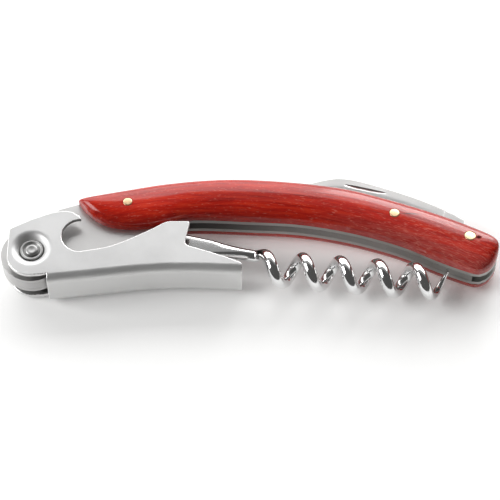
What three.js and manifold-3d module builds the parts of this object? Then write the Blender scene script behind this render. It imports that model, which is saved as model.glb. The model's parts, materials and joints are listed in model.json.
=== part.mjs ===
// A waiter's corkscrew, folded shut and lying on its side. All sizes are in millimetres.
//
// X runs along the handle, from the lever's rivet to the butt. Y runs from the belly, where the
// worm and the lever fold in, to the spine, where the blade folds in. Z is up, through the
// thickness: scale, liner, centre layer, liner, scale. The upper half mirrors the lower half
// about the middle plane, so heights are counted from that plane. The origin is the middle of
// the footprint, on the surface that the lower scale rests on.

import * as THREE from "three";
import { mergeVertices } from "three/addons/utils/BufferGeometryUtils.js";
import Module from "manifold-3d";

const wasm = await Module();
wasm.setup();
const { degToRad, lerp, smoothstep } = THREE.MathUtils;

// Stack through the thickness
const THICKNESS = 12.4;
const MID_Z = THICKNESS / 2;
const SLOT = 2.4; // room between the liners
const CORE = 2.3; // plates that fill that room or swing in it
const LINER = 1.1;
const SKIN = 0.03; // air between faces that touch
const LINER_TOP = SLOT / 2 + LINER;

// Wood scales
const SIDE_WALL = 1.0; // upright edge of a scale, below its rounding
const ROUNDING = 2.4; // how far in from the edge the crown keeps rising
const CROWN_POWER = 2.3;
const CROWN_STATIONS = [0, 0.02, 0.07, 0.14, 0.23, 0.5, 0.77, 0.86, 0.93, 0.98, 1];

// Pivots and pins
const LEVER_PIVOT = [-51.7, -2.6];
const WORM_PIVOT = [-23.5, 2.8];
const BLADE_PIVOT = [52.4, 0.25];
const PIN_FRONT = [-29.2, 9.85];
const PIN_MIDDLE = [34.7, 6.65];
const SPRING_RIVET = [-4.0, 12.2];
const PIN_FRONT_RADIUS = 1.1;
const PIN_MIDDLE_RADIUS = 1.2;
const PIN_REAR_RADIUS = 1.35;
const SPRING_RIVET_RADIUS = 1.2;
const WORM_PIN_RADIUS = 1.2;
const HOLE_PLAY = 0.06; // radial play of every pin in its hole

// Liners and centre layer
const ROUND_END = 7.5; // radius of the liners about the lever's rivet
const WORM_LOBE = 4.0; // radius of the liners about the worm's pivot
const SPACER_END_X = -27.5;
const SPRING_END_X = 52.9; // the open blade's shoulder stops against this end

// Lever, a channel of bent sheet
const SHEET = 1.0;
const LEVER_HALF_WIDTH = 5.2;
const LEVER_BEND = 1.5; // outer bend radius
const WEB_START_X = -47.7;
const LEVER_END_X = -1.8;
const LIFTER_CENTRE = [-40.2, 0.95]; // cap lifter notch
const LIFTER_RADIUS = 4.5;
const DISH_FLOOR_RADIUS = 2.85; // the cheeks are dished in around the rivet
const DISH_RIM_RADIUS = 4.4;
const DISH_CLEARANCE = 0.15; // between the dish and the liner
const DISH_TOP = LINER_TOP + DISH_CLEARANCE + SHEET;
const DISH_FLANGE = 0.3; // flat ring that joins the dish to the cheek

// Lever rivet and its cupped washers
const RIVET_RADIUS = 1.2;
const RIVET_HEAD_RADIUS = 1.6;
const RIVET_HEAD_HEIGHT = 0.65;
const WASHER_RADIUS = 2.7;
const WASHER_FLOOR = 0.35;
const WASHER_RIM = 0.8;
const WASHER_CHAMFER = 0.2;

// Worm, a right-handed helix of tapered wire
const WIRE_RADIUS = 1.375;
const HELIX_RADIUS = 3.2; // to the middle of the wire
const PITCH = 8.9;
const TURNS = 5.0;
const HELIX_ORIGIN = [2.8, -5.1]; // on the helix's axis, where the first turn begins
const HELIX_TILT = degToRad(-5.57); // of the axis, in plan
const RAMP = 4.0; // length over which the straight shank winds itself into the helix
const TAPER_TURNS = 0.75;
const TIP_RADIUS = 0.12;
const TANG_RADIUS = 3.2; // flat eye on the worm's pivot
const SHANK_START = 4.4; // the wire is round from here outwards
const TANG_OVERLAP = 1.2; // length of the eye's neck inside the round wire
const STEPS_PER_TURN = 16;
const WIRE_SIDES = 10;

// Blade
const BLADE_TANG_RADIUS = 3.4;
const BLADE_SHOULDER_X = 51.8;
const PLUNGE_X = 47.2; // where the ground blade meets its full-thickness heel
const BLADE_BACK = 1.9;
const BLADE_EDGE = 0.3;
const NICK = { from: [23.3, 18.2], to: [33.2, 15.75], width: 0.8, depth: 0.5 };

const ROUND_SIDES = 24;

// ---- Outlines ----

const vec = ([x, y]) => new THREE.Vector2(x, y);

function curve(...points) {
  return new THREE.SplineCurve(points.map(vec));
}

function arc([x, y], radius, fromDegrees, toDegrees, steps) {
  return Array.from({ length: steps + 1 }, (_, i) => {
    const angle = degToRad(lerp(fromDegrees, toDegrees, i / steps));
    return new THREE.Vector2(x + radius * Math.cos(angle), y + radius * Math.sin(angle));
  });
}

function outline(...pieces) {
  return new THREE.Shape(pieces.flat().map((p) => (Array.isArray(p) ? vec(p) : p)));
}

function withHoles(shape, ...holes) {
  for (const [centre, radius] of holes) {
    shape.holes.push(new THREE.Path(arc(centre, radius + HOLE_PLAY, 0, 360, ROUND_SIDES).slice(1)));
  }
  return shape;
}

// Height of a plan curve above the X axis at x, for curves that run along X.
function heightAt(path, x) {
  let low = 0;
  let high = 1;
  const rising = path.getPoint(1).x > path.getPoint(0).x;
  for (let i = 0; i < 40; i++) {
    const middle = (low + high) / 2;
    if (path.getPoint(middle).x < x === rising) low = middle;
    else high = middle;
  }
  return path.getPoint(low).y;
}

// Evenly spaced points of a plan curve between two stations along X, moved by `inset` in Y.
function along(path, fromX, toX, steps, inset = 0) {
  return Array.from({ length: steps + 1 }, (_, i) => {
    const x = lerp(fromX, toX, i / steps);
    return new THREE.Vector2(x, heightAt(path, x) + inset);
  });
}

// Spine and belly of the handle, both from the wood's front tip to the middle of the butt.
const SPINE = curve(
  [-41.2, 11.6], [-31.3, 14.1], [-19.2, 16.45], [-4.7, 17.65], [9.8, 16.85], [23.1, 14.9],
  [35.1, 11.3], [46.9, 6.95], [55.1, 3.0], [58.3, 0.7], [59.4, -1.6],
);
const BELLY = curve(
  [-41.2, 11.6], [-39.6, 9.3], [-37.1, 6.8], [-34.7, 5.35], [-31.0, 4.4], [-26.2, 4.25],
  [-20.6, 5.1], [-14.3, 6.85], [0, 6.4], [12.2, 5.6], [24.1, 3.3], [36.0, -0.5],
  [45.3, -5.0], [52.3, -7.9], [54.7, -8.25], [57.1, -6.9], [58.8, -4.2], [59.4, -1.6],
);
// Outer face of the lever's web.
const WEB = curve([-47.7, -11.4], [-35.7, -10.0], [-24.0, -8.65], [-14.0, -8.35], [-1.8, -8.8]);

// ---- Solids ----

// A plan shape made into a plate between two heights counted from the middle plane.
function plate(shape, low, high) {
  const geometry = new THREE.ExtrudeGeometry(shape, { depth: high - low, bevelEnabled: false });
  return geometry.translate(0, 0, MID_Z + low);
}

function rod([x, y], radius, low, high) {
  const geometry = new THREE.CylinderGeometry(radius, radius, high - low, ROUND_SIDES);
  return geometry.rotateX(Math.PI / 2).translate(x, y, MID_Z + (low + high) / 2);
}

// A closed profile of [radius, height] pairs, running anticlockwise, turned about a pivot.
function turned([x, y], profile) {
  const points = [...profile, profile[0]].map(vec);
  const geometry = new THREE.LatheGeometry(points, ROUND_SIDES);
  return geometry.rotateX(Math.PI / 2).translate(x, y, MID_Z);
}

function mirrored(geometry) {
  const copy = geometry.index ? geometry.toNonIndexed() : geometry.clone();
  const position = copy.attributes.position;
  copy.translate(0, 0, -MID_Z).scale(1, 1, -1).translate(0, 0, MID_Z);
  for (let i = 0; i < position.count; i += 3) {
    const [a, b] = [i + 1, i + 2].map((n) => new THREE.Vector3().fromBufferAttribute(position, n));
    position.setXYZ(i + 1, b.x, b.y, b.z);
    position.setXYZ(i + 2, a.x, a.y, a.z);
  }
  return copy;
}

function solid(geometry) {
  const bare = new THREE.BufferGeometry();
  bare.setAttribute("position", geometry.attributes.position);
  bare.setIndex(geometry.index);
  const welded = mergeVertices(bare, 1e-4);
  const corners = welded.index.array;
  const triVerts = [];
  for (let i = 0; i < corners.length; i += 3) {
    const [a, b, c] = corners.slice(i, i + 3);
    if (a !== b && b !== c && c !== a) triVerts.push(a, b, c);
  }
  const vertProperties = new Float32Array(welded.attributes.position.array);
  const mesh = { numProp: 3, vertProperties, triVerts: new Uint32Array(triVerts) };
  return new wasm.Manifold(new wasm.Mesh(mesh));
}

function geometryOf(body) {
  const { vertProperties, triVerts } = body.getMesh();
  const geometry = new THREE.BufferGeometry();
  geometry.setAttribute("position", new THREE.BufferAttribute(new Float32Array(vertProperties), 3));
  geometry.setIndex(new THREE.BufferAttribute(new Uint32Array(triVerts), 1));
  geometry.computeVertexNormals();
  return geometry;
}

function join(...geometries) {
  return geometryOf(geometries.map(solid).reduce((sum, part) => sum.add(part)));
}

function cut(geometry, ...tools) {
  return geometryOf(tools.map(solid).reduce((rest, tool) => rest.subtract(tool), solid(geometry)));
}

// A closed body over the leaf between two plan curves that share both end points. `across` are
// the stations from the lower curve (0) to the upper (1); floor and roof give the heights at a
// station from the leaf's local width and the place across it.
function leaf(lowerCurve, upperCurve, lengths, across, floor, roof) {
  const vertices = [];
  for (const surface of [floor, roof]) {
    for (const s of lengths) {
      const lower = lowerCurve.getPointAt(s);
      const upper = upperCurve.getPointAt(s);
      const width = lower.distanceTo(upper);
      for (const u of across) {
        const point = lower.clone().lerp(upper, u);
        vertices.push(point.x, point.y, MID_Z + surface(width, u));
      }
    }
  }
  const columns = across.length;
  const layer = lengths.length * columns;
  const faces = [];
  const quad = (a, b, c, d) => faces.push(a, b, c, a, c, d);
  for (let i = 0; i + 1 < lengths.length; i++) {
    for (let j = 0; j + 1 < columns; j++) {
      const a = i * columns + j;
      quad(a, a + 1, a + columns + 1, a + columns);
      quad(layer + a, layer + a + columns, layer + a + columns + 1, layer + a + 1);
    }
    const first = i * columns;
    const last = first + columns - 1;
    quad(first, first + columns, layer + first + columns, layer + first);
    quad(last, layer + last, layer + last + columns, last + columns);
  }
  for (let j = 0; j + 1 < columns; j++) {
    const end = layer - columns + j;
    quad(j, layer + j, layer + j + 1, j + 1);
    quad(end, end + 1, layer + end + 1, layer + end);
  }
  const geometry = new THREE.BufferGeometry();
  geometry.setAttribute("position", new THREE.Float32BufferAttribute(vertices, 3));
  geometry.setIndex(faces);
  return geometry;
}

// A round wire along a path, with a radius for each point, closed by flat ends.
function wire(path, radii, sides) {
  const vertices = [];
  const faces = [];
  const normal = new THREE.Vector3(0, 0, 1);
  path.forEach((point, i) => {
    const tangent = path[Math.min(i + 1, path.length - 1)].clone()
      .sub(path[Math.max(i - 1, 0)]).normalize();
    normal.addScaledVector(tangent, -normal.dot(tangent)).normalize();
    const side = tangent.clone().cross(normal);
    for (let j = 0; j < sides; j++) {
      const angle = (2 * Math.PI * j) / sides;
      const ring = point.clone()
        .addScaledVector(normal, radii[i] * Math.cos(angle))
        .addScaledVector(side, radii[i] * Math.sin(angle));
      vertices.push(...ring);
    }
  });
  for (let i = 0; i + 1 < path.length; i++) {
    for (let j = 0; j < sides; j++) {
      const [a, b] = [i * sides + j, i * sides + ((j + 1) % sides)];
      faces.push(a, b, b + sides, a, b + sides, a + sides);
    }
  }
  const last = (path.length - 1) * sides;
  for (let j = 1; j + 1 < sides; j++) {
    faces.push(0, j + 1, j, last, last + j, last + j + 1);
  }
  const geometry = new THREE.BufferGeometry();
  geometry.setAttribute("position", new THREE.Float32BufferAttribute(vertices, 3));
  geometry.setIndex(faces);
  return geometry;
}

// ---- Materials ----

function metal(color, roughness) {
  return new THREE.MeshStandardMaterial({ color, roughness, metalness: 1 });
}

const redWood = new THREE.MeshStandardMaterial({ color: 0x9c2c1f, roughness: 0.3, metalness: 0 });
const brass = metal(0xd9c48a, 0.3);
const linerSteel = metal(0x9a9a98, 0.35);
const leverSteel = metal(0xc4c5c6, 0.38);
const wormChrome = metal(0xdcdde0, 0.08);
const bladeSteel = metal(0xb9bbbd, 0.28);
const rivetSteel = metal(0xd0d1d2, 0.25);

// ---- Handle ----

const PINS = [
  [PIN_FRONT, PIN_FRONT_RADIUS],
  [PIN_MIDDLE, PIN_MIDDLE_RADIUS],
  [BLADE_PIVOT, PIN_REAR_RADIUS],
];

// Stations from 0 to 1, closer together near both ends.
function eased(steps) {
  return Array.from({ length: steps + 1 }, (_, i) => (1 - Math.cos((Math.PI * i) / steps)) / 2);
}

function upperScale() {
  const base = LINER_TOP + SKIN;
  const crown = MID_Z - base - SIDE_WALL;
  const roof = (width, u) => {
    const inFromEdge = Math.min(1, (width * Math.min(u, 1 - u)) / ROUNDING);
    const rise = (1 - (1 - inFromEdge) ** CROWN_POWER) ** (1 / CROWN_POWER);
    return base + SIDE_WALL + crown * rise;
  };
  const blank = leaf(BELLY, SPINE, eased(32), CROWN_STATIONS, () => base, roof);
  const drills = PINS.map(([centre, radius]) => rod(centre, radius + HOLE_PLAY, 0, THICKNESS));
  return cut(blank, ...drills);
}

const bellyOfButt = BELLY.getSpacedPoints(64).filter((p) => p.x > 45).slice(0, -1);
const buttOfSpine = SPINE.getSpacedPoints(56).filter((p) => p.x > 45).reverse();

function liner() {
  return withHoles(
    outline(
      arc(LEVER_PIVOT, ROUND_END, 123, 285, 18),
      curve([-45.5, -8.2], [-38, -5.4], [-31, -2.9], [-27.5, -1.2]).getSpacedPoints(5),
      arc(WORM_PIVOT, WORM_LOBE, -125, 12, 12),
      curve([-18.9, 5.0], [-17.6, 6.1], [-15.8, 6.7]).getSpacedPoints(3),
      along(BELLY, -14, 44, 20),
      bellyOfButt,
      buttOfSpine,
      along(SPINE, 44, -40, 26),
      [[-45.7, 10.05], [-50.3, 7.35]],
    ),
    [LEVER_PIVOT, RIVET_RADIUS],
    [WORM_PIVOT, WORM_PIN_RADIUS],
    [SPRING_RIVET, SPRING_RIVET_RADIUS],
    ...PINS,
  );
}

function frontSpacer() {
  const shape = outline(
    arc(LEVER_PIVOT, ROUND_END, 123, 285, 18),
    curve([-45.5, -8.2], [-38, -5.4], [-31, -2.9], [SPACER_END_X, -1.2]).getSpacedPoints(5),
    along(SPINE, SPACER_END_X, -40, 4),
    [[-45.7, 10.05], [-50.3, 7.35]],
  );
  return withHoles(shape, [LEVER_PIVOT, RIVET_RADIUS], [PIN_FRONT, PIN_FRONT_RADIUS]);
}

// One bar. Its front arm lies along the spine and presses on the worm's eye, its full-height
// root is riveted, and its rear arm lies along the belly and presses on the blade's tang.
function backspring() {
  const shape = outline(
    [[-26.9, 6.4], [-20.4, 6.4], [-20.1, 9.6]],
    curve([-19.0, 11.1], [-15.9, 11.3], [-14.5, 9.6]).getSpacedPoints(4),
    along(BELLY, -14.4, SPRING_END_X, 24),
    [[SPRING_END_X, -3.95], [44, -0.05]],
    curve([40.5, 4.2], [37.6, 8.0], [34.7, 9.0], [31.5, 8.9]).getSpacedPoints(6),
    [[20, 11.6], [11, 13.3], [8.4, 13.2], [7.0, 14.2]],
    along(SPINE, 6.4, -26.9, 14),
  );
  return withHoles(shape, [SPRING_RIVET, SPRING_RIVET_RADIUS], [PIN_MIDDLE, PIN_MIDDLE_RADIUS]);
}

// ---- Lever ----

function cheekOutline() {
  const [notchX, notchY] = LIFTER_CENTRE;
  return outline(
    along(WEB, WEB_START_X, LEVER_END_X, 10, LEVER_BEND - 0.1),
    [[LEVER_END_X, -7.0], [-2.3, -6.45]],
    [[-5.8, -5.0], [-9.4, -3.65], [-12.9, -2.5]],
    curve([-14.4, -2.0], [-15.2, -1.3], [-15.25, -0.4]).getSpacedPoints(4),
    arc([-14.95, 4.3], 0.65, 0, 90, 4),
    arc([-18.9, 1.9], 3.0, 92, 120, 4),
    curve([-23.7, 2.5], [-28.4, 0], [-33.0, -2.1], [-37.8, -3.15], [notchX, notchY - LIFTER_RADIUS])
      .getSpacedPoints(9),
    arc(LIFTER_CENTRE, LIFTER_RADIUS, -100, -270, 20),
    curve([-40.6, 6.2], [-41.8, 7.15], [-43.0, 7.65], [-44.6, 7.8], [-47.8, 7.2]).getSpacedPoints(7),
    [[-52.4, 5.3]],
    arc([-56.6, 2.3], 0.7, 115, 175, 3),
    arc([-51.85, -4.55], 5.5, 180, 270, 12),
    [[-49.3, -9.9]],
  );
}

// The cheek's sheet around the rivet. It sinks smoothly from the rim to a flat floor.
function dish() {
  const sink = LEVER_HALF_WIDTH - DISH_TOP;
  const steps = 5;
  const wall = Array.from({ length: steps + 1 }, (_, i) => {
    const r = lerp(DISH_FLOOR_RADIUS, DISH_RIM_RADIUS, i / steps);
    return [r, DISH_TOP + sink * smoothstep(r, DISH_FLOOR_RADIUS, DISH_RIM_RADIUS)];
  });
  const bore = RIVET_RADIUS + 2 * HOLE_PLAY;
  const flange = [DISH_RIM_RADIUS + DISH_FLANGE, LEVER_HALF_WIDTH];
  const upper = [[bore, DISH_TOP], ...wall, flange];
  const lower = upper.map(([r, z]) => [r, z - SHEET]);
  return turned(LEVER_PIVOT, [...lower, ...upper.reverse()]);
}

function dishedCheek() {
  const inner = LEVER_HALF_WIDTH - SHEET;
  const flat = plate(cheekOutline(), inner, LEVER_HALF_WIDTH);
  const opened = cut(flat, rod(LEVER_PIVOT, DISH_RIM_RADIUS + DISH_FLANGE / 3, 0, THICKNESS));
  return join(opened, dish());
}

// The bent sheet between the cheeks: a channel section drawn straight along X, then moved to
// follow the web's curve. Its ends run a little way into the cheeks.
function web() {
  const [outer, inner] = [LEVER_HALF_WIDTH, LEVER_HALF_WIDTH - SHEET];
  const flangeEnd = LEVER_BEND + 0.2;
  const bends = (side, radius, from, to) => {
    const centre = [LEVER_BEND, side * (outer - LEVER_BEND)];
    return arc(centre, radius, from, to, 4);
  };
  const section = outline(
    [[flangeEnd, outer]],
    bends(1, LEVER_BEND, 90, 180),
    bends(-1, LEVER_BEND, 180, 270),
    [[flangeEnd, -outer], [flangeEnd, -inner]],
    bends(-1, LEVER_BEND - SHEET, 270, 180),
    bends(1, LEVER_BEND - SHEET, 180, 90),
    [[flangeEnd, inner]],
  );
  const depth = LEVER_END_X - WEB_START_X;
  const geometry = new THREE.ExtrudeGeometry(section, { depth, steps: 10, bevelEnabled: false });
  // The section's first axis becomes Y, its second Z, and it is drawn along X.
  geometry.applyMatrix4(new THREE.Matrix4().set(
    0, 0, 1, WEB_START_X,
    1, 0, 0, 0,
    0, 1, 0, MID_Z,
    0, 0, 0, 1,
  ));
  const position = geometry.attributes.position;
  for (let i = 0; i < position.count; i++) {
    position.setY(i, position.getY(i) + heightAt(WEB, position.getX(i)));
  }
  return geometry;
}

function lever() {
  const cheek = dishedCheek();
  return join(web(), cheek, mirrored(cheek));
}

function leverWasher() {
  const base = DISH_TOP + SKIN;
  return turned(LEVER_PIVOT, [
    [RIVET_RADIUS + HOLE_PLAY, base],
    [WASHER_RADIUS, base],
    [WASHER_RADIUS, base + WASHER_RIM - WASHER_CHAMFER],
    [WASHER_RADIUS - WASHER_CHAMFER, base + WASHER_RIM],
    [WASHER_RADIUS - 0.55, base + WASHER_RIM],
    [WASHER_RADIUS - 0.8, base + WASHER_FLOOR],
    [RIVET_RADIUS + HOLE_PLAY, base + WASHER_FLOOR],
  ]);
}

function leverRivet() {
  const seat = DISH_TOP + 2 * SKIN + WASHER_FLOOR;
  const half = [
    [RIVET_RADIUS, seat],
    [RIVET_HEAD_RADIUS, seat],
    [RIVET_HEAD_RADIUS, seat + RIVET_HEAD_HEIGHT / 2],
    [RIVET_HEAD_RADIUS - 0.35, seat + RIVET_HEAD_HEIGHT - 0.05],
    [0, seat + RIVET_HEAD_HEIGHT],
  ];
  const profile = [...half.map(([r, z]) => [r, -z]).reverse(), ...half].map(vec);
  const [x, y] = LEVER_PIVOT;
  const geometry = new THREE.LatheGeometry(profile, ROUND_SIDES);
  return geometry.rotateX(Math.PI / 2).translate(x, y, MID_Z);
}

// ---- Worm ----

// Middle of the wire at a distance along the helix's axis, counted from the first turn's start.
function helixPoint(distance) {
  const rate = (2 * Math.PI) / PITCH;
  let turn = 0;
  if (distance > RAMP / 2) turn = rate * distance;
  else if (distance > -RAMP / 2) turn = (rate * (distance + RAMP / 2) ** 2) / (2 * RAMP);
  const [originX, originY] = HELIX_ORIGIN;
  const [cos, sin] = [Math.cos(HELIX_TILT), Math.sin(HELIX_TILT)];
  const sideways = HELIX_RADIUS * Math.cos(turn);
  return new THREE.Vector3(
    originX + distance * cos - sideways * sin,
    originY + distance * sin + sideways * cos,
    MID_Z + HELIX_RADIUS * Math.sin(turn),
  );
}

function worm() {
  const [pivotX, pivotY] = WORM_PIVOT;
  const pivot = new THREE.Vector3(pivotX, pivotY, MID_Z);
  const bend = helixPoint(-RAMP / 2);
  const shank = bend.clone().sub(pivot);
  const shankAngle = Math.atan2(shank.y, shank.x);
  const steps = Math.round(TURNS * STEPS_PER_TURN);
  const length = TURNS * PITCH;
  const path = [pivot.clone().addScaledVector(shank.clone().normalize(), SHANK_START)];
  const radii = [WIRE_RADIUS];
  for (let i = 0; i <= steps; i++) {
    const distance = lerp(-RAMP / 2, length, i / steps);
    const turnsLeft = (length - distance) / PITCH;
    path.push(helixPoint(distance));
    radii.push(lerp(TIP_RADIUS, WIRE_RADIUS, Math.min(1, turnsLeft / TAPER_TURNS)));
  }
  const eye = outline(arc([0, 0], TANG_RADIUS, 25, 335, 20), [
    [SHANK_START + TANG_OVERLAP, -WIRE_RADIUS + 0.15],
    [SHANK_START + TANG_OVERLAP, WIRE_RADIUS - 0.15],
  ]);
  withHoles(eye, [[0, 0], WORM_PIN_RADIUS]);
  const tang = plate(eye, -CORE / 2, CORE / 2).rotateZ(shankAngle).translate(pivotX, pivotY, 0);
  return join(wire(path, radii, WIRE_SIDES), tang);
}

// ---- Blade ----

function blade() {
  const tip = [8.6, 15.2];
  const back = curve(
    tip, [11.5, 17.0], [15.5, 18.6], [20.0, 19.75], [22.9, 19.9], [27.0, 19.0],
    [34.3, 16.5], [41.4, 13.6], [PLUNGE_X, 10.7],
  );
  const edge = curve(tip, [14, 14.3], [22, 12.6], [34.7, 9.6], [42, 6.4], [PLUNGE_X - 1.0, 4.2]);
  const half = (u) => lerp(BLADE_EDGE, BLADE_BACK, smoothstep(u, -0.4, 0.75)) / 2;
  const across = [0, 0.2, 0.4, 0.6, 0.8, 1];
  const ground = leaf(edge, back, eased(22), across, (_, u) => -half(u), (_, u) => half(u));
  const heel = outline(
    [[PLUNGE_X - 1.0, 4.2]],
    arc(BLADE_PIVOT, BLADE_TANG_RADIUS, 195, 450, 20),
    [[BLADE_SHOULDER_X, 4.0], [BLADE_SHOULDER_X, 7.75], [49.7, 9.3], [PLUNGE_X, 10.7]],
  );
  withHoles(heel, [BLADE_PIVOT, PIN_REAR_RADIUS]);
  const whole = join(ground, plate(heel, -CORE / 2, CORE / 2));
  const [from, to] = [vec(NICK.from), vec(NICK.to)];
  const run = to.clone().sub(from);
  const middle = from.lerp(to, 0.5);
  const groove = new THREE.BoxGeometry(run.length(), NICK.width, 2 * NICK.depth);
  groove.rotateZ(run.angle()).translate(middle.x, middle.y, MID_Z + BLADE_BACK / 2);
  return cut(whole, groove);
}

// ---- Assembly ----

const group = new THREE.Group();
group.position.set(-0.1, -3.43, 0);

function add(name, geometry, material) {
  const mesh = new THREE.Mesh(geometry, material);
  mesh.name = name;
  group.add(mesh);
}

function addPin(name, [centre, radius], reach, material) {
  add(name, rod(centre, radius, -reach, reach), material);
}

const scale = upperScale();
add("scale_upper", scale, redWood);
add("scale_lower", mirrored(scale), redWood);
add("liner_upper", plate(liner(), SLOT / 2, LINER_TOP), linerSteel);
add("liner_lower", plate(liner(), -LINER_TOP, -SLOT / 2), linerSteel);
add("front_spacer", plate(frontSpacer(), -CORE / 2, CORE / 2), linerSteel);
add("backspring", plate(backspring(), -CORE / 2, CORE / 2), linerSteel);
addPin("spring_rivet", [SPRING_RIVET, SPRING_RIVET_RADIUS], LINER_TOP, linerSteel);
addPin("worm_pivot_pin", [WORM_PIVOT, WORM_PIN_RADIUS], LINER_TOP, linerSteel);
addPin("pin_front", PINS[0], MID_Z, brass);
addPin("pin_middle", PINS[1], MID_Z, brass);
addPin("pin_rear", PINS[2], MID_Z, brass);

add("lever", lever(), leverSteel);
add("lever_rivet", leverRivet(), rivetSteel);
const washer = leverWasher();
add("lever_washer_upper", washer, rivetSteel);
add("lever_washer_lower", mirrored(washer), rivetSteel);

add("worm", worm(), wormChrome);
add("blade", blade(), bladeSteel);

export default group;
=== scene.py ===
"""A waiter's corkscrew, folded shut on its side on a pale studio floor.

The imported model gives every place: joints, boxes and the outlines of its plates. The visible
pieces are rebuilt here on those outlines, with crowned wood, bevelled sheet metal and fine
wire. Lengths named below are in millimetres, and Blender's own unit is the metre.
"""

import json
import math

import bmesh
import bpy
import numpy as np
from mathutils import Euler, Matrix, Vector
from mathutils.bvhtree import BVHTree


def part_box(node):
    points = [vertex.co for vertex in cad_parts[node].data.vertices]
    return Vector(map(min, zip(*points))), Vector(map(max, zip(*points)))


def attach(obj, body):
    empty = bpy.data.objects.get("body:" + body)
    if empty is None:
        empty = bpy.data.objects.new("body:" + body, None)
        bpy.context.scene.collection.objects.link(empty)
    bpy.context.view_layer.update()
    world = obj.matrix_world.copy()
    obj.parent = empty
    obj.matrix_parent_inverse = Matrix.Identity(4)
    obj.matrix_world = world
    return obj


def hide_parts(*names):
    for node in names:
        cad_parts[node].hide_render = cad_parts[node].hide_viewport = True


MM = 0.001

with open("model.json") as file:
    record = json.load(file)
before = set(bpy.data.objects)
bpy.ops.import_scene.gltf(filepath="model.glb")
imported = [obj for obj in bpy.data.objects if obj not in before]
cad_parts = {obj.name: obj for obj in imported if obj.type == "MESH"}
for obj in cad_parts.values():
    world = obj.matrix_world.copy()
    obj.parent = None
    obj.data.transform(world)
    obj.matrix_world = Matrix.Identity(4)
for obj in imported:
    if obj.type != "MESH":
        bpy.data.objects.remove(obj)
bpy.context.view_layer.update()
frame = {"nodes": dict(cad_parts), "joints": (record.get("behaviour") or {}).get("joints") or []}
nodes = frame["nodes"]
joints = {j["name"]: Vector(j["pos_m"]) for j in frame["joints"]}
LEVER_PIVOT = joints["lever_fold"]
WORM_PIVOT = joints["worm_fold"]
BLADE_PIVOT = joints["blade_fold"]
MID_Z = LEVER_PIVOT.z

PINS = {}  # centre and radius of each brass pin
for pin in ("pin_front", "pin_middle", "pin_rear"):
    pin_low, pin_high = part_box(pin)
    PINS[pin] = ((pin_low + pin_high) / 2, (pin_high.x - pin_low.x) / 2)

# Shared by several pieces
WOOD_PLAY = 0.09 * MM  # the wood's holes are this much larger in radius than the pins
STEEL_PLAY = 0.06 * MM  # and the steel pieces' holes this much
TANG_HALF = 1.15 * MM  # half the thickness of the worm's eye and of the blade's heel
FLAT = math.radians(0.3)  # faces within this angle of each other count as one
SAME_POINT = 1e-6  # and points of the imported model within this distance, in metres
HOLE_SIDES = 56

# Wood scales and brass pins
SIDE_WALL = 0.9 * MM  # upright edge of the upper scale
LOWER_SIDE_WALL = 0.55 * MM
CROWN_WIDTH = 9.0 * MM  # scales at least this wide rise to their full height
CROWN_POWER = 2.3
STATIONS = 160  # steps along a scale
ACROSS = 36  # steps across it
PIN_RIM = 0.07 * MM  # bevel round the ends of a pin

# Lever
SHEET = 1.0 * MM
LEVER_BEND = 1.5 * MM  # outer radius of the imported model's bend
BEND_SPREAD = 0.45 * MM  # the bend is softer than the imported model's by this much
WEB_START_X = LEVER_PIVOT.x + 4.0 * MM
LEVER_BEVEL = 0.16 * MM  # polished bevel along the sheet's edges, painted paler as a highlight
OUTLINE_STEP = 0.25 * MM  # the free edge has no points closer together than this
DISH_BORE = 1.32 * MM  # radius of the rivet's hole
DISH_FLOOR = 2.75 * MM  # radius of the dish's flat floor
DISH_RIM = 5.2 * MM  # and of its rim
DISH_BORDER = 0.1 * MM  # flat ring round the dish
DISH_DEPTH = 1.75 * MM
DISH_POWER = 2.7  # the dish steepens towards its floor

# Rivet and cupped washers at the lever's root
RIVET_RADIUS = 1.2 * MM
RIVET_HEAD_HEIGHT = 0.65 * MM
RIVET_HEAD = [  # radius, and depth below the head's highest ring, in millimetres
    (0.0, 0.09), (0.5, 0.08), (0.8, 0.01), (0.95, 0.0), (1.2, 0.03), (1.42, 0.14), (1.56, 0.32),
    (1.6, 0.5),
]
WASHER_RADIUS = 2.7 * MM
WASHER_FLOOR = 0.35 * MM  # thickness of the cup's floor
WASHER_RIM = 0.8 * MM  # height of its rim
WASHER_LIP = 0.5 * MM  # width of the rim at its top
WASHER_WALL = 0.85 * MM  # and at its foot
WASHER_ROUNDING = 0.18 * MM

# Worm
WIRE_RADIUS = 1.46 * MM
HELIX_RADIUS = 3.18 * MM  # to the middle of the wire
PITCH = 8.9 * MM
TURNS = 5.0
HELIX_ORIGIN = WORM_PIVOT + Vector((26.3, -7.9, 0)) * MM  # where the first turn begins
HELIX_TILT = math.radians(-5.57)
RAMP = 4.0 * MM  # length over which the straight shank winds itself into the helix
TAPER_TURNS = 0.6  # the wire thins to its tip over this part of a turn
TIP_RADIUS = 0.1 * MM
SHANK_STEPS = 40
SHANK_START = 1.8 * MM  # the shank begins this far from the pivot, inside the eye
SHANK_HALF_WIDTH = 2.75 * MM  # of its flattened end
EYE_RADIUS = 3.2 * MM
NECK_LENGTH = 5.6 * MM  # the eye's neck ends this far from the pivot, inside the shank
NECK_HALF_WIDTH = 1.2 * MM
EYE_BEVEL = 0.12 * MM

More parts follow.
